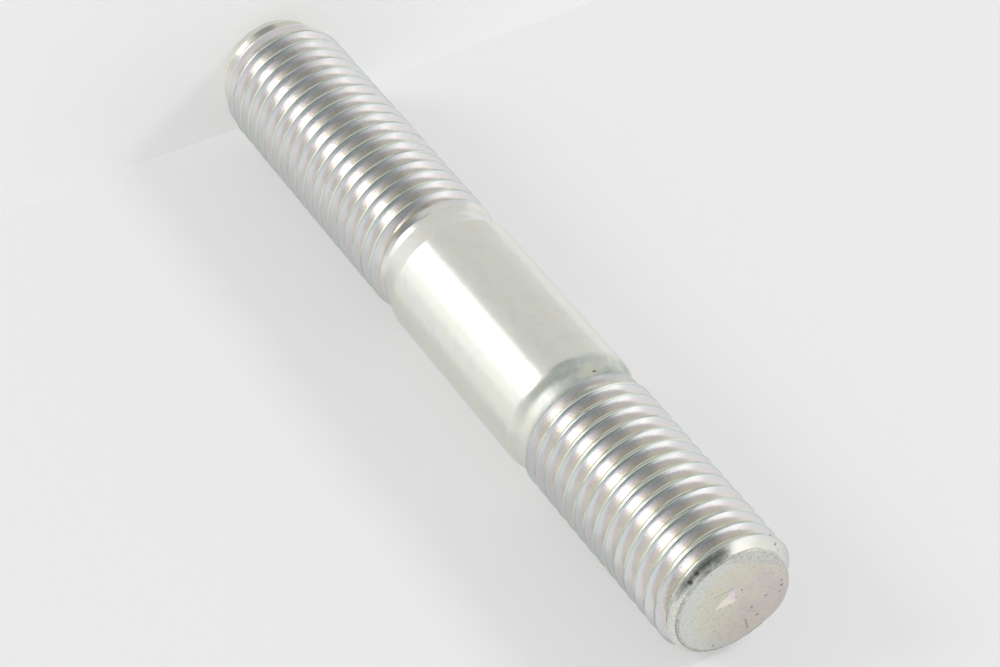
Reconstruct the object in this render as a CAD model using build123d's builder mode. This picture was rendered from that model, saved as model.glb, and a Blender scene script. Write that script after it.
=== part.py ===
"""A double-ended stud: one steel bar, turned to a plain shank with a cone and a neck at each side of it, for a
thread to be rolled on both ends. Millimetres, +Z along the bar, standing on the end of its long thread.

The bar is one half section turned about Z. Its heights run up from the bottom face, each from the one below it.
The threads are M12 x 1.5 and right-handed. Here they are plain, at the radius of their crests, as a drawing shows
them: their fine helix belongs to the finish.
"""

import os

from build123d import *

# Shank and thread
shank_radius = 6.0
shank_length = 19.2
crest_radius = 5.92

# Bar as it was turned before rolling, which still shows at the necks, and the rounded corners it was left with
neck_radius = 5.5
neck_corner_radius = 0.3

# Long end, at the bottom: its lengths follow each other from the end face to the shank
bottom_face_radius = 4.9
bottom_chamfer_length = 3.2
bottom_thread_length = 31.05
bottom_neck_length = 0.55
bottom_cone_length = 2.2

# Short end, on top, in the same order
top_face_radius = 4.95
top_chamfer_length = 0.7
top_thread_length = 22.2
top_neck_length = 1.0
top_cone_length = 0.8

# How far a thread's crests take to die out beside its neck
crest_fade_length = 0.7

# Rounding of the end faces' rims
rim_radius = 0.2

# Small three-sided dent in the top face, deepest at its middle
dent_corners = [(-0.85, -1.25), (1.6, -0.65), (-0.15, 0.3)]
dent_middle = (0.2, -0.55)
dent_depth = 0.2

bottom_neck = bottom_thread_length
bottom_cone = bottom_neck + bottom_neck_length
shank_bottom = bottom_cone + bottom_cone_length
shank_top = shank_bottom + shank_length
top_cone = shank_top + top_cone_length
top_neck = top_cone + top_neck_length
overall_length = top_neck + top_thread_length

with BuildPart() as stud:
    with BuildSketch(Plane.XZ) as half_section:
        with BuildLine():
            Polyline(
                (0, 0),
                (bottom_face_radius, 0),
                (crest_radius, bottom_chamfer_length),
                (crest_radius, bottom_neck - crest_fade_length),
                (neck_radius, bottom_neck),
                (neck_radius, bottom_cone),
                (shank_radius, shank_bottom),
                (shank_radius, shank_top),
                (neck_radius, top_cone),
                (neck_radius, top_neck),
                (crest_radius, top_neck + crest_fade_length),
                (crest_radius, overall_length - top_chamfer_length),
                (top_face_radius, overall_length),
                (0, overall_length),
                close=True,
            )
        make_face()
        neck_corners = half_section.vertices().filter_by(lambda corner: abs(corner.X - neck_radius) < 1e-6)
        fillet(neck_corners, radius=neck_corner_radius)
    revolve(axis=Axis.Z)

    end_faces = stud.faces().filter_by(GeomType.PLANE).sort_by(Axis.Z)
    fillet([end_faces[0].edge(), end_faces[-1].edge()], radius=rim_radius)

    with BuildSketch(Plane.XY.offset(overall_length)) as dent_mouth:
        Polygon(*dent_corners, align=None)
    loft([dent_mouth.sketch, Vertex(*dent_middle, overall_length - dent_depth)], mode=Mode.SUBTRACT)

stud.part.label = "stud"

os.makedirs("parts", exist_ok=True)
export_step(stud.part, "parts/stud.step")
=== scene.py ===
"""Zinc plated stud bolt, M12 x 1.5 at both ends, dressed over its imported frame."""

import math

import bmesh
import bpy
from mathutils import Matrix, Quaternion, Vector


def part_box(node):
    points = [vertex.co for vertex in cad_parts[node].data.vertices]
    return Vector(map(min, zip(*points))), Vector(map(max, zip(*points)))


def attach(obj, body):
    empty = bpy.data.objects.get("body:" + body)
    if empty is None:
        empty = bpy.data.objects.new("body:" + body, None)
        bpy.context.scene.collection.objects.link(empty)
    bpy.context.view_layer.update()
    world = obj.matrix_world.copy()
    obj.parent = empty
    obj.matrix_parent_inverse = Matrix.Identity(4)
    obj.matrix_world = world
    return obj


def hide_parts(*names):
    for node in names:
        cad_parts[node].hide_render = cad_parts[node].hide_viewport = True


MM = 0.001

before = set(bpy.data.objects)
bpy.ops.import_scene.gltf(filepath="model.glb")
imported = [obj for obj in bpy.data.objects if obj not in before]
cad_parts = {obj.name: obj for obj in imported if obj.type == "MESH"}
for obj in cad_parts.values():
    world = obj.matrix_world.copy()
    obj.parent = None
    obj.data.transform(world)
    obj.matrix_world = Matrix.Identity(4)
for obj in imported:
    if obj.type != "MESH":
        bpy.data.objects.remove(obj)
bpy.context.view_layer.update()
stud_low, stud_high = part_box("stud")

# ---------------------------------------- sizes, mm
stud_length = (stud_high.z - stud_low.z) / MM
shank_radius = min(stud_high.x - stud_low.x, stud_high.y - stud_low.y) / 2 / MM

# the rolled thread, with its 60 degree groove
thread_pitch = 1.5
crest_radius = 5.92
root_radius = 5.0
crest_half_width = 0.0925
flank_slope = 1 / math.tan(math.radians(30))
steps_per_turn = 100

# heights up the stud, where its outline turns a corner
bottom_chamfer_length = 3.2
bottom_thread_end = 30.35
bottom_neck_bottom = 31.05
bottom_neck_top = 31.6
shank_bottom = 33.8
shank_top = 53.0
top_neck_bottom = 53.8
top_neck_top = 54.8
top_thread_start = 55.5
top_chamfer_length = 0.7
groove_rise_length = 1.5

neck_radius = 5.5
bottom_face_radius = 4.9
top_face_radius = 4.95

# the radius that rounds each corner of the outline
crest_end_corner = 0.6
groove_end_corner = 0.8
bottom_neck_corner = 0.3
shank_bottom_corner = 0.15
shank_top_corner = 1.3
top_neck_bottom_corner = 1.2
top_neck_top_corner = 0.9
top_chamfer_corner = 0.1
steps_per_corner = 5

# a crest of each thread, where it passes the stud's front
top_crest_height = stud_length - 0.668
bottom_crest_height = 30.794

# the worn rim of an end face: two rings set in from the edge, and the drop of the edge and first ring
rim_width = 0.05
rim_blend_width = 0.08
edge_drop = 0.05
rim_drop = 0.012

# how near counts as on a ring or at a height
ring_tolerance = 0.02
height_tolerance = 0.0005

# ---------------------------------------- camera
camera_place = Vector((0.132, -221.834, 224.427)) * MM
camera_aim = Vector((0.132, 0.0, 41.690)) * MM
camera_roll = math.radians(139.293)
camera_lens = 124.084


def make_camera():
    """A long lens looks down the stud from above its top end, turned about its own axis."""
    data = bpy.data.cameras.new("studio_camera")
    data.lens = camera_lens
    data.sensor_width = 36.0
    data.clip_start = 0.01
    data.clip_end = 20.0
    camera = bpy.data.objects.new("studio_camera", data)
    bpy.context.scene.collection.objects.link(camera)
    facing = (camera_aim - camera_place).to_track_quat("-Z", "Y")
    camera.rotation_mode = "QUATERNION"
    camera.rotation_quaternion = facing @ Quaternion((0, 0, 1), camera_roll)
    camera.location = camera_place
    bpy.context.scene.camera = camera


# ---------------------------------------- the stud's outline
def rounded(corners):
    """A half outline of (height, radius, corner radius) as (height, radius) points, corners rounded."""
    points = []
    for index, (height, radius, corner) in enumerate(corners):
        here = Vector((height, radius))
        if corner == 0:
            points.append((height, radius))
            continue
        before = (Vector(corners[index - 1][:2]) - here).normalized()
        after = (Vector(corners[index + 1][:2]) - here).normalized()
        turn = math.pi - before.angle(after)
        reach = corner * math.tan(turn / 2)
        for step in range(steps_per_corner + 1):
            share = step / steps_per_corner
            one = here + before * reach * (1 - share)
            two = here + after * reach * share
            point = one.lerp(two, share)
            points.append((point.x, point.y))
    return points


between_threads = [
    (bottom_neck_bottom, neck_radius, bottom_neck_corner),
    (bottom_neck_top, neck_radius, bottom_neck_corner),
    (shank_bottom, shank_radius, shank_bottom_corner),
    (shank_top, shank_radius, shank_top_corner),
    (top_neck_bottom, neck_radius, top_neck_bottom_corner),
    (top_neck_top, neck_radius, top_neck_top_corner),
]

crest_outline = rounded([
    (0, bottom_face_radius, 0),
    (bottom_chamfer_length, crest_radius, 0),
    (bottom_thread_end, crest_radius, crest_end_corner),
    *between_threads,
    (top_thread_start, crest_radius, crest_end_corner),
    (stud_length - top_chamfer_length, crest_radius, top_chamfer_corner),
    (stud_length, top_face_radius, 0),
])

root_outline = rounded([
    (0, root_radius, 0),
    (bottom_neck_bottom - groove_rise_length, root_radius, groove_end_corner),
    *between_threads,
    (top_neck_top + groove_rise_length, root_radius, groove_end_corner),
    (stud_length, root_radius, 0),
])


def outline_radius(outline, height):
    """The radius of a half outline at a height."""
    if height <= outline[0][0]:
        return outline[0][1]
    for low, high in zip(outline, outline[1:]):
        if height <= high[0]:
            share = (height - low[0]) / max(high[0] - low[0], 1e-9)
            return low[1] + (high[1] - low[1]) * share
    return outline[-1][1]


def smooth(share):
    """0 below 0, 1 above 1 and an even rise between."""
    share = min(max(share, 0.0), 1.0)
    return share * share * (3 - 2 * share)


# ---------------------------------------- modelling helpers
def only(piece):
    """Makes a piece the one selected and active object."""
    bpy.ops.object.select_all(action="DESELECT")
    piece.select_set(True)
    bpy.context.view_layer.objects.active = piece


def apply_modifier(piece, kind, **settings):
    """Adds a modifier with its settings and applies it."""
    only(piece)
    modifier = piece.modifiers.new(kind.lower(), kind)
    for name, value in settings.items():
        setattr(modifier, name, value)
    bpy.ops.object.modifier_apply(modifier=modifier.name)


def start_line(name, place):
    """A single vertex, selected in edit mode, for a line to be extruded from."""
    bpy.ops.object.select_all(action="DESELECT")
    bpy.ops.mesh.primitive_plane_add(size=MM, location=(0, 0, 0))
    piece = bpy.context.object
    piece.name = name
    bpy.ops.object.mode_set(mode="EDIT")
    bpy.ops.mesh.select_all(action="SELECT")
    bpy.ops.mesh.merge(type="CENTER")
    bpy.ops.transform.translate(value=place)
    return piece


def face_outwards(piece):
    """Turns every face of a closed piece outwards."""
    only(piece)
    bpy.ops.object.mode_set(mode="EDIT")
    bpy.ops.mesh.select_all(action="SELECT")
    bpy.ops.mesh.normals_make_consistent(inside=False)
    bpy.ops.object.mode_set(mode="OBJECT")


def axis_distance(vertex):
    """How far a vertex lies from the stud's axis, in mm."""
    return math.hypot(vertex.co.x, vertex.co.y) / MM


def set_axis_distance(vertex, radius):
    """Moves a vertex straight in or out to a radius in mm."""
    share = radius / axis_distance(vertex)
    vertex.co.x *= share
    vertex.co.y *= share


def degrees_from(angle, vertex):
    """Degrees about the axis from an angle to a vertex. Angles run from the stud's front towards +X."""
    here = math.degrees(math.atan2(vertex.co.x, -vertex.co.y))
    return (here - angle + 180) % 360 - 180


# ---------------------------------------- the stud
cropped_end_slot = 1
dent_slot = 2


def thread_groove():
    """One pitch of the rolled thread from crest to crest, as (height, radius). Its crests are seamed."""
    flank_top = 0.118
    flank_foot = 0.60
    seam_depth = 0.012
    shoulder_drop = 0.018
    foot_lift = 0.006
    side = [
        (0.0, crest_radius - seam_depth),
        (0.068, crest_radius),
        (0.100, crest_radius - shoulder_drop),
        (flank_top, crest_radius - (flank_top - crest_half_width) * flank_slope),
        (flank_foot, crest_radius - (flank_foot - crest_half_width) * flank_slope),
        (0.665, root_radius + foot_lift),
        (thread_pitch / 2, root_radius),
    ]
    other = [(thread_pitch - height, radius) for height, radius in reversed(side[:-1])]
    return side + other


def wind_thread():
    """Rows of the groove wound into one skin that reaches past both ends of the stud."""
    spare_turns = 3
    row_join = 0.002 * MM
    turn_join = 0.004 * MM
    # the groove is drawn at +X, a quarter turn on from the front, so it starts a quarter pitch higher
    quarter_turn_rise = thread_pitch / 4
    groove = thread_groove()
    turns = math.ceil(stud_length / thread_pitch) + spare_turns
    start_height = top_crest_height + quarter_turn_rise - (turns - 1) * thread_pitch
    first = Vector((groove[0][1], 0, start_height + groove[0][0])) * MM
    stud = start_line("zinc_plated_stud", first)
    for (low, near), (high, far) in zip(groove, groove[1:]):
        step = Vector((far - near, 0, high - low)) * MM
        bpy.ops.mesh.extrude_region_move(TRANSFORM_OT_translate={"value": step})
    bpy.ops.object.mode_set(mode="OBJECT")
    apply_modifier(
        stud, "ARRAY",
        count=turns,
        use_relative_offset=False,
        use_constant_offset=True,
        constant_offset_displace=(0, 0, thread_pitch * MM),
        use_merge_vertices=True,
        merge_threshold=row_join,
    )
    apply_modifier(
        stud, "SCREW",
        axis="Z",
        angle=math.tau,
        screw_offset=thread_pitch * MM,
        steps=steps_per_turn,
        render_steps=steps_per_turn,
        use_merge_vertices=False,
    )
    bpy.ops.object.mode_set(mode="EDIT")
    bpy.ops.mesh.select_all(action="SELECT")
    bpy.ops.mesh.remove_doubles(threshold=turn_join)
    bpy.ops.object.mode_set(mode="OBJECT")
    return stud


def slide_rows(stud):
    """Slides the rows along the shank, because the two threads start at angles of their own."""
    clear_of_necks = 1
    rows_between = round((top_crest_height - bottom_crest_height) / thread_pitch)
    slide = bottom_crest_height - (top_crest_height - rows_between * thread_pitch)
    slide_length = shank_top - shank_bottom - 2 * clear_of_necks
    for vertex in stud.data.vertices:
        height = vertex.co.z / MM
        share = smooth((height - shank_bottom - clear_of_necks) / slide_length)
        vertex.co.z += slide * (1 - share) * MM


def cut_rings(stud):
    """Cuts a ring at each corner of the outline, and the ends off flat."""
    only(stud)
    bpy.ops.object.mode_set(mode="EDIT")
    ring_heights = sorted({round(height, 3) for height, radius in crest_outline})
    for height in ring_heights:
        bpy.ops.mesh.select_all(action="SELECT")
        bpy.ops.mesh.bisect(
            plane_co=(0, 0, height * MM),
            plane_no=(0, 0, 1),
            clear_inner=height == ring_heights[0],
            clear_outer=height == ring_heights[-1],
            threshold=0.0001 * MM,
        )
    bpy.ops.object.mode_set(mode="OBJECT")


def uneven_chamfer(vertex):
    """How much less the top chamfer takes off at its back left, where the tool ran out of true."""
    fullest_angle = -149
    reach_to_left = 60
    reach_to_back = 36
    fullest = 0.55
    away = degrees_from(fullest_angle, vertex)
    reach = reach_to_left if away > 0 else reach_to_back
    return fullest * smooth(1 - abs(away) / reach)


def trim_to_outline(stud):
    """Brings each vertex out to the outline of the groove's root and in to the outline of the crests."""
    uneven_length = 1.5
    for vertex in stud.data.vertices:
        height = vertex.co.z / MM
        crest = outline_radius(crest_outline, height)
        if height > stud_length - uneven_length:
            crest = min(crest + uneven_chamfer(vertex), crest_radius)
        root = outline_radius(root_outline, height)
        set_axis_distance(vertex, min(max(axis_distance(vertex), root), crest))


def close_end(stud, height):
    """Fills the open end at a height with a face set in from a small worn rim."""
    open_edge_reach = 0.01
    only(stud)
    bpy.ops.object.mode_set(mode="EDIT")
    bpy.ops.mesh.select_mode(type="EDGE")
    bpy.ops.mesh.select_all(action="DESELECT")
    mesh = bmesh.from_edit_mesh(stud.data)
    for edge in mesh.edges:
        middle = (edge.verts[0].co.z + edge.verts[1].co.z) / 2
        if edge.is_boundary and abs(middle - height * MM) < open_edge_reach * MM:
            edge.select = True
    bmesh.update_edit_mesh(stud.data)
    bpy.ops.mesh.edge_face_add()
    bpy.ops.mesh.inset(thickness=rim_width * MM)
    bpy.ops.mesh.inset(thickness=rim_blend_width * MM)
    stud.active_material_index = cropped_end_slot
    bpy.ops.object.material_slot_assign()
    bpy.ops.object.mode_set(mode="OBJECT")
    at_top = height > stud_length / 2
    outward = 1 if at_top else -1
    for vertex in stud.data.vertices:
        if abs(vertex.co.z - height * MM) > height_tolerance * MM:
            continue
        edge_radius = top_face_radius + uneven_chamfer(vertex) if at_top else bottom_face_radius
        if axis_distance(vertex) > edge_radius - ring_tolerance:
            vertex.co.z -= outward * edge_drop * MM
        elif axis_distance(vertex) > edge_radius - rim_width - ring_tolerance:
            vertex.co.z -= outward * rim_drop * MM


def press_rim(stud):
    """Draws the top face's edge inwards at the front left, which leaves a shallow sloping crescent."""
    crescent_angle = -59
    crescent_reach = 56
    steepness = 1.25
    inwards = 1.0
    drop = 0.09
    lowest = stud_length - edge_drop - 0.01
    for vertex in stud.data.vertices:
        if vertex.co.z < lowest * MM:
            continue
        away = abs(degrees_from(crescent_angle, vertex))
        share = smooth(steepness * (1 - away / crescent_reach))
        edge_radius = top_face_radius + uneven_chamfer(vertex)
        if axis_distance(vertex) > edge_radius - rim_width - ring_tolerance:
            vertex.co.z -= drop * share * MM
        else:
            set_axis_distance(vertex, axis_distance(vertex) - inwards * share)


def cut_dent(stud):
    """A three-sided dent pressed into the top face."""
    corners = [(-0.85, -1.25), (1.60, -0.65), (-0.15, 0.30)]
    deepest = (0.20, -0.55)
    depth = 0.20
    above = 0.20
    bpy.ops.object.select_all(action="DESELECT")
    bpy.ops.mesh.primitive_cone_add(vertices=3, radius1=MM, depth=MM, location=(0, 0, 0))
    punch = bpy.context.object
    spread = (depth + above) / depth
    base = [vertex for vertex in punch.data.vertices if vertex.co.z < 0]
    tip = [vertex for vertex in punch.data.vertices if vertex.co.z > 0][0]
    tip.co = Vector((deepest[0], deepest[1], stud_length - depth)) * MM
    base.sort(key=lambda vertex: math.atan2(vertex.co.y, vertex.co.x))
    corners.sort(key=lambda corner: math.atan2(corner[1] - deepest[1], corner[0] - deepest[0]))
    for vertex, corner in zip(base, corners):
        x = deepest[0] + (corner[0] - deepest[0]) * spread
        y = deepest[1] + (corner[1] - deepest[1]) * spread
        vertex.co = Vector((x, y, stud_length + above)) * MM
    punch.data.materials.append(stud.data.materials[dent_slot])
    face_outwards(punch)
    apply_modifier(stud, "BOOLEAN", operation="DIFFERENCE", object=punch, solver="EXACT")
    bpy.data.objects.remove(punch)


def make_stud():
    """Rolled threads, necks and shank in one closed skin that winds along the thread's own helix."""
    stud = wind_thread()
    stud.data.materials.append(make_zinc())
    stud.data.materials.append(make_cropped_end())
    stud.data.materials.append(make_dent_zinc_with_painted_facets())
    slide_rows(stud)
    cut_rings(stud)
    trim_to_outline(stud)
    close_end(stud, 0.0)
    close_end(stud, stud_length)
    press_rim(stud)
    cut_dent(stud)
    face_outwards(stud)
    bpy.ops.object.shade_smooth_by_angle(angle=math.radians(15))
    return stud


# ---------------------------------------- nodes
# a Mix node of colours takes them at these inputs and gives its colour at this output
first_colour = 6
second_colour = 7
mixed_colour = 2


def linear(hex_colour):
    """An sRGB hex colour as the linear colour that a shader reads."""
    parts = [int(hex_colour[place:place + 2], 16) / 255 for place in (1, 3, 5)]
    return (*[part / 12.92 if part <= 0.04045 else ((part + 0.055) / 1.055) ** 2.4 for part in parts], 1)


def grey(level):
    """A linear grey for a mask or a roughness."""
    return (level, level, level, 1)


def add_node(tree, kind, settings=None, values=None, links=None, stops=None):
    """Adds a node with its settings, its values, the links into it and a ramp's (place, colour) stops."""
    node = tree.nodes.new(kind)
    for name, value in (settings or {}).items():
        setattr(node, name, value)
    for socket, value in (values or {}).items():
        node.inputs[socket].default_value = value
    for socket, source in (links or {}).items():
        tree.links.new(source, node.inputs[socket])
    if stops:
        elements = node.color_ramp.elements
        while len(elements) < len(stops):
            elements.new(0.5)
        for element, (place, colour) in zip(elements, stops):
            element.position = place
            element.color = colour
    return node


def start_material(name):
    """A new material, its node tree and the place on the piece in mm."""
    material = bpy.data.materials.new(name)
    material.use_nodes = True
    tree = material.node_tree
    place = add_node(tree, "ShaderNodeTexCoord").outputs["Object"]
    in_mm = add_node(
        tree, "ShaderNodeVectorMath",
        settings={"operation": "SCALE"},
        values={"Scale": 1 / MM},
        links={0: place},
    ).outputs["Vector"]
    return material, tree, in_mm


def finish_metal(tree, colour, roughness, bump=None):
    """Joins a metal's colour, roughness and bump to its shader."""
    shader = tree.nodes["Principled BSDF"]
    shader.inputs["Metallic"].default_value = 1.0
    tree.links.new(colour, shader.inputs["Base Color"])
    tree.links.new(roughness, shader.inputs["Roughness"])
    if bump:
        tree.links.new(bump, shader.inputs["Normal"])


def add_axis_distance(tree, in_mm):
    """How far the place lies from the stud's axis, in mm."""
    flat = add_node(
        tree, "ShaderNodeVectorMath",
        settings={"operation": "MULTIPLY"},
        values={1: (1, 1, 0)},
        links={0: in_mm},
    ).outputs["Vector"]
    return add_node(
        tree, "ShaderNodeVectorMath",
        settings={"operation": "LENGTH"},
        links={0: flat},
    ).outputs["Value"]


# ---------------------------------------- dark marks, in mm
spot_ragged_width = 0.25
streak_ragged_width = 0.526316
line_break_width = 0.76923
burnt_plate = linear("#4E5147")
end_pit = linear("#827E76")


def add_spots(tree, in_mm, spots):
    """Ragged dark spots at (x, y, depth below the top end, reach): 0 on a spot and 1 on clean plate."""
    ragged = add_node(
        tree, "ShaderNodeTexNoise",
        values={"Scale": 1 / spot_ragged_width, "Detail": 3.0, "Roughness": 0.7},
        links={"Vector": in_mm},
    ).outputs["Color"]
    shift = add_node(
        tree, "ShaderNodeVectorMath",
        settings={"operation": "MULTIPLY_ADD"},
        values={1: (0.3, 0.3, 0.3), 2: (-0.15, -0.15, -0.15)},
        links={0: ragged},
    ).outputs["Vector"]
    moved = add_node(
        tree, "ShaderNodeVectorMath",
        settings={"operation": "ADD"},
        links={0: in_mm, 1: shift},
    ).outputs["Vector"]
    clean = None
    for x, y, depth, reach in spots:
        away = add_node(
            tree, "ShaderNodeVectorMath",
            settings={"operation": "DISTANCE"},
            values={1: (x, y, stud_length - depth)},
            links={0: moved},
        ).outputs["Value"]
        off_spot = add_node(
            tree, "ShaderNodeMapRange",
            values={"From Min": 0.3 * reach, "From Max": reach},
            links={"Value": away},
        ).outputs["Result"]
        if clean is None:
            clean = off_spot
            continue
        clean = add_node(
            tree, "ShaderNodeMath",
            settings={"operation": "MINIMUM"},
            links={0: clean, 1: off_spot},
        ).outputs["Value"]
    return clean


def add_burn(tree, in_mm):
    """The dark ragged streak left by the plating along the top chamfer's front: low on it and 1 off it."""
    streak_radius = 5.4
    streak_height = stud_length - 0.42
    streak_middle = 0.6
    streak_half_length = 3.0
    streak_half_width = 0.25
    end_steepness = 4.0
    raggedness = 2.0
    parts = add_node(tree, "ShaderNodeSeparateXYZ", links={"Vector": in_mm})
    front = add_node(
        tree, "ShaderNodeMath",
        settings={"operation": "MULTIPLY"},
        values={1: -1.0},
        links={0: parts.outputs["Y"]},
    ).outputs["Value"]
    turn = add_node(
        tree, "ShaderNodeMath",
        settings={"operation": "ARCTAN2"},
        links={0: parts.outputs["X"], 1: front},
    ).outputs["Value"]
    # how far along the streak and aside of it, as shares of its half length and its half width
    along_steps = [
        ("MULTIPLY", streak_radius),
        ("SUBTRACT", streak_middle),
        ("MULTIPLY", 1 / streak_half_length),
        ("POWER", end_steepness),
    ]
    aside_steps = [
        ("SUBTRACT", streak_height),
        ("MULTIPLY", 1 / streak_half_width),
        ("ABSOLUTE", 0.0),
    ]
    shares = []
    for share, steps in ((turn, along_steps), (parts.outputs["Z"], aside_steps)):
        for operation, number in steps:
            share = add_node(
                tree, "ShaderNodeMath",
                settings={"operation": operation},
                values={1: number},
                links={0: share},
            ).outputs["Value"]
        shares.append(share)
    reach = add_node(
        tree, "ShaderNodeMath",
        settings={"operation": "ADD"},
        links={0: shares[0], 1: shares[1]},
    ).outputs["Value"]
    ragged = add_node(
        tree, "ShaderNodeTexNoise",
        values={"Scale": 1 / streak_ragged_width, "Detail": 5.0, "Roughness": 0.7},
        links={"Vector": in_mm},
    ).outputs["Fac"]
    edge = add_node(
        tree, "ShaderNodeMath",
        settings={"operation": "MULTIPLY_ADD"},
        values={1: raggedness},
        links={0: ragged, 2: reach},
    ).outputs["Value"]
    return add_node(
        tree, "ShaderNodeMapRange",
        values={"From Min": 1.00, "From Max": 2.10, "To Min": 0.24},
        links={"Value": edge},
    ).outputs["Result"]


def add_line_round(tree, in_mm, radius, line_radius, half_width):
    """A faint broken line round the +X side at a radius: towards 0 on it and 1 off it."""
    raggedness = 12.0
    away = add_node(
        tree, "ShaderNodeMath",
        settings={"operation": "SUBTRACT"},
        values={1: line_radius},
        links={0: radius},
    ).outputs["Value"]
    aside = add_node(
        tree, "ShaderNodeMath",
        settings={"operation": "ABSOLUTE"},
        links={0: away},
    ).outputs["Value"]
    off_line = add_node(
        tree, "ShaderNodeMapRange",
        values={"From Max": half_width},
        links={"Value": aside},
    ).outputs["Result"]
    parts = add_node(tree, "ShaderNodeSeparateXYZ", links={"Vector": in_mm})
    breaks = add_node(
        tree, "ShaderNodeTexNoise",
        values={"Scale": 1 / line_break_width, "Detail": 3.0, "Roughness": 0.7},
        links={"Vector": in_mm},
    ).outputs["Fac"]
    toward_x = add_node(
        tree, "ShaderNodeMath",
        settings={"operation": "MULTIPLY_ADD"},
        values={1: raggedness},
        links={0: breaks, 2: parts.outputs["X"]},
    ).outputs["Value"]
    faintest = add_node(
        tree, "ShaderNodeMapRange",
        values={"From Min": 6.5, "From Max": 10.5, "To Min": 1.0, "To Max": 0.58},
        links={"Value": toward_x},
    ).outputs["Result"]
    return add_node(
        tree, "ShaderNodeMath",
        settings={"operation": "MAXIMUM"},
        links={0: off_line, 1: faintest},
    ).outputs["Value"]


def add_straight_line(tree, in_mm, start, end, half_width):
    """A straight fine line between two places on the top face, for a scratch and for a painted line of
    shade: 0 on it and 1 off it.
    """
    start = Vector((*start, stud_length))
    run = Vector((*end, stud_length)) - start
    from_start = add_node(
        tree, "ShaderNodeVectorMath",
        settings={"operation": "SUBTRACT"},
        values={1: start},
        links={0: in_mm},
    ).outputs["Vector"]
    along = add_node(
        tree, "ShaderNodeVectorMath",
        settings={"operation": "DOT_PRODUCT"},
        values={1: run / run.length_squared},
        links={0: from_start},
    ).outputs["Value"]
    share = add_node(tree, "ShaderNodeMapRange", links={"Value": along}).outputs["Result"]
    nearest = add_node(
        tree, "ShaderNodeVectorMath",
        settings={"operation": "SCALE"},
        values={0: run},
        links={"Scale": share},
    ).outputs["Vector"]
    away = add_node(
        tree, "ShaderNodeVectorMath",
        settings={"operation": "DISTANCE"},
        links={0: from_start, 1: nearest},
    ).outputs["Value"]
    return add_node(
        tree, "ShaderNodeMapRange",
        values={"From Min": 0.3 * half_width, "From Max": half_width},
        links={"Value": away},
    ).outputs["Result"]


def add_dark_marks(tree, in_mm, height, radius):
    """The dark marks of the plate on the top end and neck, and faint dark lines round the top chamfer: 0 on
    a mark and 1 on clean plate.
    """
    clean = add_spots(tree, in_mm, [
        (0.70, -5.42, 0.40, 0.26),
        (1.51, -5.18, 0.34, 0.28),
        (-3.67, -4.20, 22.55, 0.20),
        (3.49, -4.38, 3.05, 0.12),
        (-5.34, -0.43, 0.30, 0.32),
        (-5.40, -1.20, 0.50, 0.26),
        (-5.55, -2.20, 0.90, 0.22),
    ])
    unburnt = add_burn(tree, in_mm)
    sound = add_node(
        tree, "ShaderNodeMath",
        settings={"operation": "MULTIPLY"},
        links={0: clean, 1: unburnt},
    ).outputs["Value"]
    outer_line = add_line_round(tree, in_mm, radius, line_radius=5.72, half_width=0.09)
    inner_line = add_line_round(tree, in_mm, radius, line_radius=5.08, half_width=0.08)
    off_lines = add_node(
        tree, "ShaderNodeMath",
        settings={"operation": "MINIMUM"},
        links={0: outer_line, 1: inner_line},
    ).outputs["Value"]
    # the lines are drawn on the top chamfer only, so there are none further down
    below_end = add_node(
        tree, "ShaderNodeMapRange",
        values={"From Min": stud_length - 1.3, "From Max": stud_length - 1.2, "To Min": 1.0, "To Max": 0.0},
        links={"Value": height},
    ).outputs["Result"]
    unlined = add_node(
        tree, "ShaderNodeMath",
        settings={"operation": "MAXIMUM"},
        links={0: off_lines, 1: below_end},
    ).outputs["Value"]
    return add_node(
        tree, "ShaderNodeMath",
        settings={"operation": "MULTIPLY"},
        links={0: sound, 1: unlined},
    ).outputs["Value"]


def add_end_marks(tree, in_mm):
    """The pits, a scratch and a painted dark line of shade at the dent on the top face: 0 in a pit, faint
    on the scratch and the line, and 1 on clean plate.
    """
    clean = add_spots(tree, in_mm, [
        (-1.09, -0.31, 0, 0.13),
        (-2.24, 2.37, 0, 0.13),
        (-0.84, 2.33, 0, 0.15),
        (-3.71, 2.70, 0, 0.17),
        (-3.95, 2.20, 0, 0.11),
        (-3.30, 3.20, 0, 0.12),
        (-0.75, 3.65, 0, 0.16),
        (3.40, 2.90, 0, 0.12),
    ])
    # painted shade: a thin dark line at the dent's edge, standing in for the shade there
    dent_shade_line = add_straight_line(tree, in_mm, (0.98, -1.98), (-0.75, -1.14), half_width=0.07)
    back_scratch = add_straight_line(tree, in_mm, (0.16, 3.10), (0.44, 4.10), half_width=0.15)
    off_scratch_and_shade_line = add_node(
        tree, "ShaderNodeMath",
        settings={"operation": "MINIMUM"},
        links={0: dent_shade_line, 1: back_scratch},
    ).outputs["Value"]
    unscratched_unshaded = add_node(
        tree, "ShaderNodeMapRange",
        values={"To Min": 0.58},
        links={"Value": off_scratch_and_shade_line},
    ).outputs["Result"]
    return add_node(
        tree, "ShaderNodeMath",
        settings={"operation": "MINIMUM"},
        links={0: clean, 1: unscratched_unshaded},
    ).outputs["Value"]


# ---------------------------------------- bright zinc plate, in mm
film_drift_width = 4.54545
plate_cloud_width = 1.81818
# the crystals are only microns wide, and are drawn as coarse as they need to show
crystal_width = 1 / 6
crystal_height = 0.02


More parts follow.
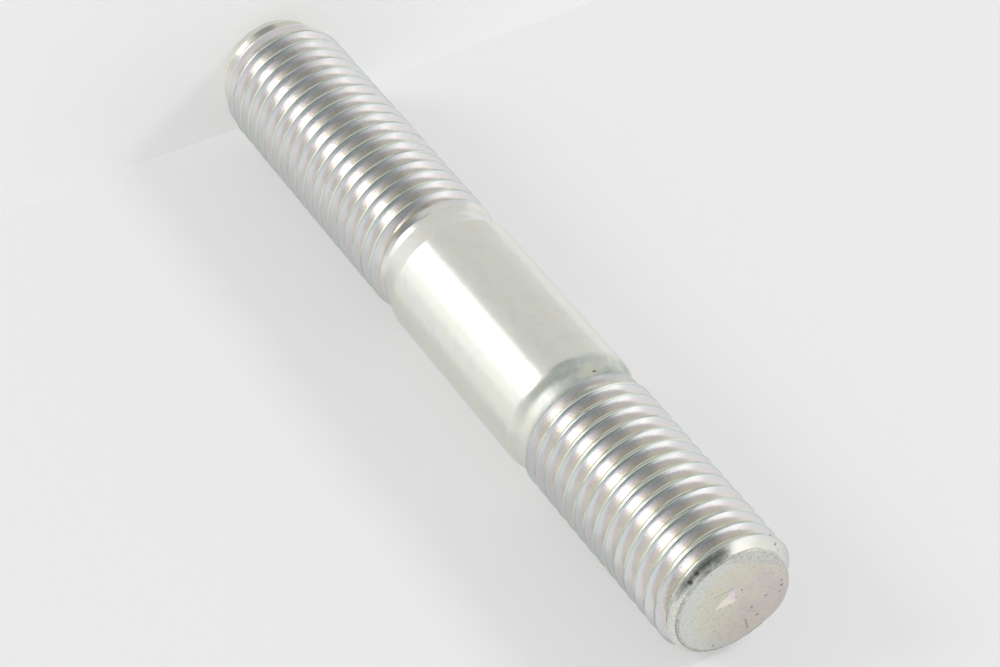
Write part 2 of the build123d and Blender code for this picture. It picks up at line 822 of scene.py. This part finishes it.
def add_film(tree, in_mm, radius):
    """The passivate film: its colour drifts down each flank and wanders a little along the stud. A dark
    stop just below each crest paints a thin dark reflection along it.
    """
    drift = add_node(
        tree, "ShaderNodeTexNoise",
        values={"Scale": 1 / film_drift_width, "Detail": 2.0, "Roughness": 0.5},
        links={"Vector": in_mm},
    ).outputs["Fac"]
    flank_share = add_node(
        tree, "ShaderNodeMapRange",
        values={"From Min": crest_radius, "From Max": root_radius, "To Max": 0.84},
        links={"Value": radius},
    ).outputs["Result"]
    wander = add_node(
        tree, "ShaderNodeMapRange",
        values={"From Min": 0.3, "From Max": 0.7, "To Min": -0.06, "To Max": 0.12},
        links={"Value": drift},
    ).outputs["Result"]
    film_place = add_node(
        tree, "ShaderNodeMath",
        settings={"operation": "ADD"},
        links={0: flank_share, 1: wander},
    ).outputs["Value"]
    return add_node(tree, "ShaderNodeValToRGB", links={"Fac": film_place}, stops=[
        (0.00, linear("#E9EEE4")),
        (0.045, linear("#E8EDE4")),
        # painted dark reflection: this stop draws a thin dark line just below each crest
        (0.08, linear("#C8CEC8")),
        (0.125, linear("#E5EBEA")),
        (0.20, linear("#E8E9ED")),
        (0.38, linear("#EEE8E9")),
        (0.56, linear("#EFEAE4")),
        (0.72, linear("#EEEBDF")),
        (0.88, linear("#EBECE0")),
    ]).outputs["Color"]


def add_thread_mask(tree, height):
    """1 on the threads and 0 on the necks, the shank and the top chamfer."""
    into_neck = 0.2
    into_chamfer = 0.15
    chamfer_start = stud_length - top_chamfer_length
    along = add_node(
        tree, "ShaderNodeMath",
        settings={"operation": "DIVIDE"},
        values={1: stud_length},
        links={0: height},
    ).outputs["Value"]
    return add_node(tree, "ShaderNodeValToRGB", links={"Fac": along}, stops=[
        (bottom_thread_end / stud_length, grey(1)),
        ((bottom_neck_bottom + into_neck) / stud_length, grey(0)),
        ((top_neck_top - into_neck) / stud_length, grey(0)),
        (top_thread_start / stud_length, grey(1)),
        (chamfer_start / stud_length, grey(1)),
        ((chamfer_start + into_chamfer) / stud_length, grey(0)),
    ]).outputs["Color"]


def add_neck_mask(tree, height):
    """1 on the top neck and 0 away from it."""
    neck_middle = (shank_top + top_thread_start) / 2
    from_middle = add_node(
        tree, "ShaderNodeMath",
        settings={"operation": "SUBTRACT"},
        values={1: neck_middle},
        links={0: height},
    ).outputs["Value"]
    distance = add_node(
        tree, "ShaderNodeMath",
        settings={"operation": "ABSOLUTE"},
        links={0: from_middle},
    ).outputs["Value"]
    return add_node(
        tree, "ShaderNodeMapRange",
        settings={"interpolation_type": "SMOOTHSTEP"},
        values={"From Min": 1.9, "From Max": 0.7},
        links={"Value": distance},
    ).outputs["Result"]


def add_neck_darkening(tree, on_neck, across, cloud):
    """Darker grey-blue clouds on the top neck, strongest on its -X side, and their share of the plate."""
    neck_grey = add_node(tree, "ShaderNodeValToRGB", links={"Fac": cloud}, stops=[
        (0.36, linear("#D3DADB")),
        (0.50, linear("#E3E7E6")),
        (0.64, linear("#F4F4F2")),
    ]).outputs["Color"]
    neck_darker_side = add_node(
        tree, "ShaderNodeMapRange",
        values={"From Min": 0.5, "From Max": 4.0, "To Min": 1.0, "To Max": 0.15},
        links={"Value": across},
    ).outputs["Result"]
    share = add_node(
        tree, "ShaderNodeMath",
        settings={"operation": "MULTIPLY"},
        links={0: on_neck, 1: neck_darker_side},
    ).outputs["Value"]
    return neck_grey, share


def add_end_speckle_and_painted_highlight(tree, height, across, grain):
    """Dull crystals on the last turns at the top end, and their share. They thin out towards the -X side,
    which is painted highlight: the plate is left lighter where the highlight falls and greyer on the +X
    side.
    """
    speckle_start = stud_length - 3.4
    speckle_full = stud_length - 0.8
    speckle = add_node(
        tree, "ShaderNodeValToRGB",
        links={"Fac": grain},
        stops=[(0.34, grey(0.68)), (0.50, grey(0.88)), (0.64, grey(0.97))],
    ).outputs["Color"]
    near_end = add_node(
        tree, "ShaderNodeMapRange",
        values={"From Min": speckle_start, "From Max": speckle_full, "To Max": 0.95},
        links={"Value": height},
    ).outputs["Result"]
    # painted highlight: less speckle on the -X side, where the highlight falls, keeps the plate lighter
    # there
    painted_highlight_side = add_node(
        tree, "ShaderNodeMapRange",
        values={"From Min": -4.2, "From Max": 1.0, "To Min": 0.15, "To Max": 1.0},
        links={"Value": across},
    ).outputs["Result"]
    share = add_node(
        tree, "ShaderNodeMath",
        settings={"operation": "MULTIPLY"},
        links={0: near_end, 1: painted_highlight_side},
    ).outputs["Value"]
    return speckle, share


def add_worn_rim(tree, height, grain):
    """Greyer plate worn thin round the rim of the top face, and its share."""
    rim = add_node(tree, "ShaderNodeValToRGB", links={"Fac": grain}, stops=[
        (0.34, linear("#CAC9CD")),
        (0.48, linear("#E6E6E8")),
        (0.62, linear("#F2F2F4")),
    ]).outputs["Color"]
    share = add_node(
        tree, "ShaderNodeMapRange",
        values={"From Min": stud_length - 0.17, "From Max": stud_length - 0.10},
        links={"Value": height},
    ).outputs["Result"]
    return rim, share


def make_zinc():
    """Bright zinc plate under a clear passivate: satin white metal with faint pink, lilac and green."""
    material, tree, in_mm = start_material("bright_zinc_plate")
    parts = add_node(tree, "ShaderNodeSeparateXYZ", links={"Vector": in_mm})
    height = parts.outputs["Z"]
    across = parts.outputs["X"]
    radius = add_axis_distance(tree, in_mm)
    cloud = add_node(
        tree, "ShaderNodeTexNoise",
        values={"Scale": 1 / plate_cloud_width, "Detail": 4.0, "Roughness": 0.6},
        links={"Vector": in_mm},
    ).outputs["Fac"]
    grain = add_node(
        tree, "ShaderNodeTexNoise",
        values={"Scale": 1 / crystal_width, "Detail": 4.0, "Roughness": 0.65},
        links={"Vector": in_mm},
    ).outputs["Fac"]

    # shank, cones and necks are plain white metal with a little green, and the film shows on the threads
    plain = add_node(tree, "ShaderNodeValToRGB", links={"Fac": cloud}, stops=[
        (0.35, linear("#F0F3ED")),
        (0.50, linear("#F7F7EE")),
        (0.65, linear("#F5F5E9")),
    ]).outputs["Color"]
    plate = add_node(
        tree, "ShaderNodeMix",
        settings={"data_type": "RGBA"},
        links={
            "Factor": add_thread_mask(tree, height),
            first_colour: plain,
            second_colour: add_film(tree, in_mm, radius),
        },
    ).outputs[mixed_colour]
    on_neck = add_neck_mask(tree, height)
    tones = [
        add_neck_darkening(tree, on_neck, across, cloud),
        add_end_speckle_and_painted_highlight(tree, height, across, grain),
        add_worn_rim(tree, height, grain),
    ]
    for tone, share in tones:
        plate = add_node(
            tree, "ShaderNodeMix",
            settings={"data_type": "RGBA", "blend_type": "MULTIPLY"},
            links={"Factor": share, first_colour: plate, second_colour: tone},
        ).outputs[mixed_colour]
    colour = add_node(
        tree, "ShaderNodeMix",
        settings={"data_type": "RGBA"},
        values={first_colour: burnt_plate},
        links={"Factor": add_dark_marks(tree, in_mm, height, radius), second_colour: plate},
    ).outputs[mixed_colour]

    # satin crystals, and a rougher neck
    satin = add_node(
        tree, "ShaderNodeValToRGB",
        links={"Fac": grain},
        stops=[(0.3, grey(0.16)), (0.7, grey(0.27))],
    ).outputs["Color"]
    rougher = add_node(
        tree, "ShaderNodeMapRange",
        values={"To Max": 0.28},
        links={"Value": on_neck},
    ).outputs["Result"]
    roughness = add_node(
        tree, "ShaderNodeMath",
        settings={"operation": "ADD"},
        links={0: satin, 1: rougher},
    ).outputs["Value"]
    bump = add_node(
        tree, "ShaderNodeBump",
        values={"Strength": 0.34, "Distance": crystal_height * MM},
        links={"Height": grain},
    ).outputs["Normal"]
    finish_metal(tree, colour, roughness, bump)
    return material


# ---------------------------------------- cropped and plated ends, in mm
end_cloud_width = 2.2222
# coarser than on the rolled thread, and again drawn as coarse as they need to show
end_crystal_width = 2 / 9
end_crystal_height = 0.04


def add_end_film(tree, in_mm):
    """The film in clouds, from green cream at the front to pink at the back, with a cooler ragged rim."""
    rim_raggedness = 2.4
    rim_lean = -5.0
    cloud = add_node(
        tree, "ShaderNodeTexNoise",
        values={"Scale": 1 / end_cloud_width, "Detail": 5.0, "Roughness": 0.65},
        links={"Vector": in_mm},
    ).outputs["Fac"]
    backwards = add_node(
        tree, "ShaderNodeVectorMath",
        settings={"operation": "DOT_PRODUCT"},
        values={1: (-0.030, 0.030, 0)},
        links={0: in_mm},
    ).outputs["Value"]
    film_place = add_node(
        tree, "ShaderNodeMath",
        settings={"operation": "ADD"},
        links={0: cloud, 1: backwards},
    ).outputs["Value"]
    film = add_node(tree, "ShaderNodeValToRGB", links={"Fac": film_place}, stops=[
        (0.34, linear("#EAE9D9")),
        (0.48, linear("#EBE7D9")),
        (0.58, linear("#EBE3DA")),
        (0.72, linear("#E8DCDC")),
    ]).outputs["Color"]
    ragged_radius = add_node(
        tree, "ShaderNodeMath",
        settings={"operation": "MULTIPLY_ADD"},
        values={1: rim_raggedness},
        links={0: cloud, 2: add_axis_distance(tree, in_mm)},
    ).outputs["Value"]
    leaning_radius = add_node(
        tree, "ShaderNodeMath",
        settings={"operation": "MULTIPLY_ADD"},
        values={1: rim_lean},
        links={0: backwards, 2: ragged_radius},
    ).outputs["Value"]
    rim_share = add_node(
        tree, "ShaderNodeMapRange",
        settings={"interpolation_type": "SMOOTHSTEP"},
        values={"From Min": 4.7, "From Max": 6.1, "To Max": 0.85},
        links={"Value": leaning_radius},
    ).outputs["Result"]
    return add_node(
        tree, "ShaderNodeMix",
        settings={"data_type": "RGBA"},
        values={second_colour: linear("#E6E9E6")},
        links={"Factor": rim_share, first_colour: film},
    ).outputs[mixed_colour]


def make_cropped_end():
    """Zinc plate on a bar's cropped face: duller and coarser, in warm clouds with a few pits."""
    material, tree, in_mm = start_material("plated_cropped_end")
    grain = add_node(
        tree, "ShaderNodeTexNoise",
        values={"Scale": 1 / end_crystal_width, "Detail": 5.0, "Roughness": 0.75},
        links={"Vector": in_mm},
    ).outputs["Fac"]
    speckle = add_node(
        tree, "ShaderNodeValToRGB",
        links={"Fac": grain},
        stops=[(0.34, grey(0.72)), (0.45, grey(0.96)), (0.60, grey(1.0))],
    ).outputs["Color"]
    plate = add_node(
        tree, "ShaderNodeMix",
        settings={"data_type": "RGBA", "blend_type": "MULTIPLY"},
        values={"Factor": 1.0},
        links={first_colour: add_end_film(tree, in_mm), second_colour: speckle},
    ).outputs[mixed_colour]
    colour = add_node(
        tree, "ShaderNodeMix",
        settings={"data_type": "RGBA"},
        values={first_colour: end_pit},
        links={"Factor": add_end_marks(tree, in_mm), second_colour: plate},
    ).outputs[mixed_colour]
    satin = add_node(
        tree, "ShaderNodeValToRGB",
        links={"Fac": grain},
        stops=[(0.3, grey(0.34)), (0.7, grey(0.46))],
    ).outputs["Color"]
    bump = add_node(
        tree, "ShaderNodeBump",
        values={"Strength": 0.6, "Distance": end_crystal_height * MM},
        links={"Height": grain},
    ).outputs["Normal"]
    finish_metal(tree, colour, satin, bump)
    return material


# ---------------------------------------- the struck dent, in mm
dent_grain_width = 1 / 3


def make_dent_zinc_with_painted_facets():
    """Zinc burnished smooth by a blow. Its brighter colour, running from cream through pink to lilac across
    the dent, is partly the film's tint and partly painted light and shade of the dent's facets.
    """
    material, tree, in_mm = start_material("dent_zinc_with_painted_facet_light")
    across = add_node(
        tree, "ShaderNodeVectorMath",
        settings={"operation": "DOT_PRODUCT"},
        values={1: (-0.40, 0.0, 0)},
        links={0: in_mm},
    ).outputs["Value"]
    grain = add_node(
        tree, "ShaderNodeTexNoise",
        values={"Scale": 1 / dent_grain_width, "Detail": 3.0, "Roughness": 0.6},
        links={"Vector": in_mm},
    ).outputs["Fac"]
    film_place = add_node(
        tree, "ShaderNodeMath",
        settings={"operation": "MULTIPLY_ADD"},
        values={1: 0.5},
        links={0: grain, 2: across},
    ).outputs["Value"]
    # painted light and shade: the colour runs from bright cream to darker lilac across the dent, in place
    # of its lit and shaded facets
    film = add_node(tree, "ShaderNodeValToRGB", links={"Fac": film_place}, stops=[
        (0.00, linear("#F9F2E6")),
        (0.25, linear("#F9F0EE")),
        (0.45, linear("#F0E7ED")),
        (0.60, linear("#DDDCEA")),
    ]).outputs["Color"]
    satin = add_node(
        tree, "ShaderNodeValToRGB",
        links={"Fac": grain},
        stops=[(0.3, grey(0.20)), (0.7, grey(0.30))],
    ).outputs["Color"]
    finish_metal(tree, film, satin)
    return material


# ---------------------------------------- stage, in metres
card_facing = Vector((-0.480, -0.877, 0)).normalized()
card_reach = 0.9
floor_reach = 0.35
paper_glow = linear("#EFEFEF")


def start_paper(name):
    """A new material with its shader taken out, and its node tree."""
    material = bpy.data.materials.new(name)
    material.use_nodes = True
    tree = material.node_tree
    tree.nodes.remove(tree.nodes["Principled BSDF"])
    return material, tree


def make_card():
    """A pale card that the stud's side touches: even to the camera, shaded elsewhere, clear from behind."""
    seen_glow = 0.47
    mirrored_glow = 0.10
    material, tree = start_paper("pale_card")
    matt = add_node(tree, "ShaderNodeBsdfDiffuse", values={"Color": linear("#F2F2F2")})
    glow = add_node(tree, "ShaderNodeEmission", values={"Color": paper_glow})
    path = add_node(tree, "ShaderNodeLightPath")
    seen = add_node(
        tree, "ShaderNodeMath",
        settings={"operation": "MULTIPLY"},
        values={1: seen_glow},
        links={0: path.outputs["Is Camera Ray"]},
    )
    share = add_node(
        tree, "ShaderNodeMath",
        settings={"operation": "MULTIPLY_ADD"},
        values={1: mirrored_glow},
        links={0: path.outputs["Is Glossy Ray"], 2: seen.outputs["Value"]},
    )
    front = add_node(tree, "ShaderNodeMixShader", links={
        0: share.outputs["Value"],
        1: matt.outputs["BSDF"],
        2: glow.outputs["Emission"],
    })
    behind = add_node(tree, "ShaderNodeBsdfTransparent")
    geometry = add_node(tree, "ShaderNodeNewGeometry")
    paper = add_node(tree, "ShaderNodeMixShader", links={
        0: geometry.outputs["Backfacing"],
        1: front.outputs["Shader"],
        2: behind.outputs["BSDF"],
    })
    tree.links.new(paper.outputs["Shader"], tree.nodes["Material Output"].inputs["Surface"])

    bpy.ops.object.select_all(action="DESELECT")
    bpy.ops.mesh.primitive_plane_add(
        size=2 * card_reach,
        location=-card_facing * shank_radius * MM,
        rotation=card_facing.to_track_quat("Z", "Y").to_euler(),
    )
    card = bpy.context.object
    card.name = "card"
    card.data.materials.append(material)
    return card


def make_floor():
    """The pale floor that the stud stands on, which only the camera sees."""
    floor_glow = 0.335
    material, tree = start_paper("pale_floor")
    matt = add_node(tree, "ShaderNodeBsdfDiffuse", values={"Color": linear("#E0E0E0")})
    glow = add_node(tree, "ShaderNodeEmission", values={"Color": paper_glow, "Strength": floor_glow})
    ground = add_node(tree, "ShaderNodeAddShader", links={
        0: matt.outputs["BSDF"],
        1: glow.outputs["Emission"],
    })
    clear = add_node(tree, "ShaderNodeBsdfTransparent")
    path = add_node(tree, "ShaderNodeLightPath")
    seen = add_node(tree, "ShaderNodeMixShader", links={
        0: path.outputs["Is Camera Ray"],
        1: clear.outputs["BSDF"],
        2: ground.outputs["Shader"],
    })
    tree.links.new(seen.outputs["Shader"], tree.nodes["Material Output"].inputs["Surface"])

    bpy.ops.object.select_all(action="DESELECT")
    bpy.ops.mesh.primitive_plane_add(size=2 * floor_reach, location=(0, 0, 0))
    floor = bpy.context.object
    floor.name = "floor"
    floor.data.materials.append(material)
    return floor


# ---------------------------------------- light
room_level = 0.68
lamp_distance = 1.0


def around(angle, height):
    """A direction from the stud: an angle about its axis from its front towards +X, and a height."""
    flat = math.sqrt(1 - height * height)
    turn = math.radians(angle)
    return Vector((math.sin(turn) * flat, -math.cos(turn) * flat, height))


def before_card(out, along, up):
    """A direction from the stud by its shares out from the card, along it and up it."""
    across = Vector((card_facing.y, -card_facing.x, 0))
    return (card_facing * out + across * along + Vector((0, 0, up))).normalized()


def add_patches(tree, direction, patches):
    """Soft round patches of the room as (towards, core and edge in degrees, share of the light left)."""
    level = None
    for toward, core, edge, share in patches:
        nearness = add_node(
            tree, "ShaderNodeVectorMath",
            settings={"operation": "DOT_PRODUCT"},
            values={1: toward},
            links={0: direction},
        ).outputs["Value"]
        patch = add_node(
            tree, "ShaderNodeMapRange",
            settings={"interpolation_type": "SMOOTHSTEP"},
            values={
                "From Min": math.cos(math.radians(edge)),
                "From Max": math.cos(math.radians(core)),
                "To Min": 1.0,
                "To Max": share,
            },
            links={"Value": nearness},
        ).outputs["Result"]
        if level is None:
            level = patch
            continue
        level = add_node(
            tree, "ShaderNodeMath",
            settings={"operation": "MULTIPLY"},
            links={0: level, 1: patch},
        ).outputs["Value"]
    return level


def make_room():
    """A pale room with three dark greenish patches and two faint ones, which the camera sees as plain."""
    world = bpy.data.worlds.new("pale_studio")
    world.use_nodes = True
    tree = world.node_tree
    direction = add_node(tree, "ShaderNodeTexCoord").outputs["Generated"]
    # over the top face, to the front left, and high in front
    dark_level = add_patches(tree, direction, [
        (Vector((-0.20, -0.16, 0.967)).normalized(), 11, 22, 0.245 / room_level),
        (around(-33, -0.17), 14, 27, 0.33 / room_level),
        (around(6, 0.42), 12, 30, 0.26 / room_level),
    ])
    # high on the right, and low at the front left
    faint_level = add_patches(tree, direction, [
        (around(112, 0.76), 8, 28, 0.84),
        (around(-50, -0.63), 20, 45, 0.93),
    ])
    share = add_node(
        tree, "ShaderNodeMath",
        settings={"operation": "MULTIPLY"},
        links={0: dark_level, 1: faint_level},
    ).outputs["Value"]
    level = add_node(
        tree, "ShaderNodeMath",
        settings={"operation": "MULTIPLY"},
        values={1: room_level},
        links={0: share},
    ).outputs["Value"]
    tone = add_node(
        tree, "ShaderNodeValToRGB",
        links={"Fac": dark_level},
        stops=[(0.25, (0.91, 1.0, 0.99, 1)), (1.0, grey(1))],
    ).outputs["Color"]
    room = tree.nodes["Background"]
    tree.links.new(level, room.inputs["Strength"])
    tree.links.new(tone, room.inputs["Color"])

    backdrop = add_node(tree, "ShaderNodeBackground", values={"Color": linear("#EAEAEA")})
    path = add_node(tree, "ShaderNodeLightPath")
    mixed = add_node(tree, "ShaderNodeMixShader", links={
        0: path.outputs["Is Camera Ray"],
        1: room.outputs["Background"],
        2: backdrop.outputs["Background"],
    })
    tree.links.new(mixed.outputs["Shader"], tree.nodes["World Output"].inputs["Surface"])
    bpy.context.scene.world = world


def make_lamp(name, toward, wide, tall, radiance, colour=(1, 1, 1), diffuse=True, glossy=True):
    """A rectangular softbox of a radiance, facing the middle of the stud, and the rays that it shows in."""
    data = bpy.data.lights.new(name, "AREA")
    data.shape = "RECTANGLE"
    data.size = wide
    data.size_y = tall
    data.energy = radiance * math.pi * wide * tall
    data.color = colour
    lamp = bpy.data.objects.new(name, data)
    bpy.context.scene.collection.objects.link(lamp)
    middle = Vector((0, 0, stud_length / 2 * MM))
    lamp.location = middle + toward * lamp_distance
    lamp.rotation_mode = "QUATERNION"
    lamp.rotation_quaternion = (-toward).to_track_quat("-Z", "Y")
    lamp.visible_diffuse = diffuse
    lamp.visible_glossy = glossy


def make_lamps():
    """Softboxes and panels that the metal mirrors, and two windows that light the card."""
    pinkish = (1.0, 0.965, 0.975)
    warm = (1.0, 0.96, 0.90)
    make_lamp("softbox", around(17.5, -0.5), 0.45, 1.0, radiance=1.80, colour=pinkish, diffuse=False)
    make_lamp("softbox_edge", around(48, -0.66), 0.50, 0.8, radiance=0.31, diffuse=False)
    make_lamp("side_panel", around(-118, 0.22), 0.50, 1.5, radiance=0.18)
    make_lamp("side_panel_high", around(-114, 0.81), 0.46, 0.42, radiance=0.58, colour=warm)
    make_lamp("left_window", before_card(0.66, 0.75, 0.26), 0.20, 0.26, radiance=18.0, glossy=False)
    make_lamp("right_window", before_card(0.62, -0.78, -0.45), 0.30, 0.30, radiance=9.2, glossy=False)


# ---------------------------------------- scene
make_camera()
stud = make_stud()
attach(stud, "root")
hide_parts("stud")
card = make_card()
floor = make_floor()
make_room()
make_lamps()
bpy.context.scene.view_settings.view_transform = "Standard"
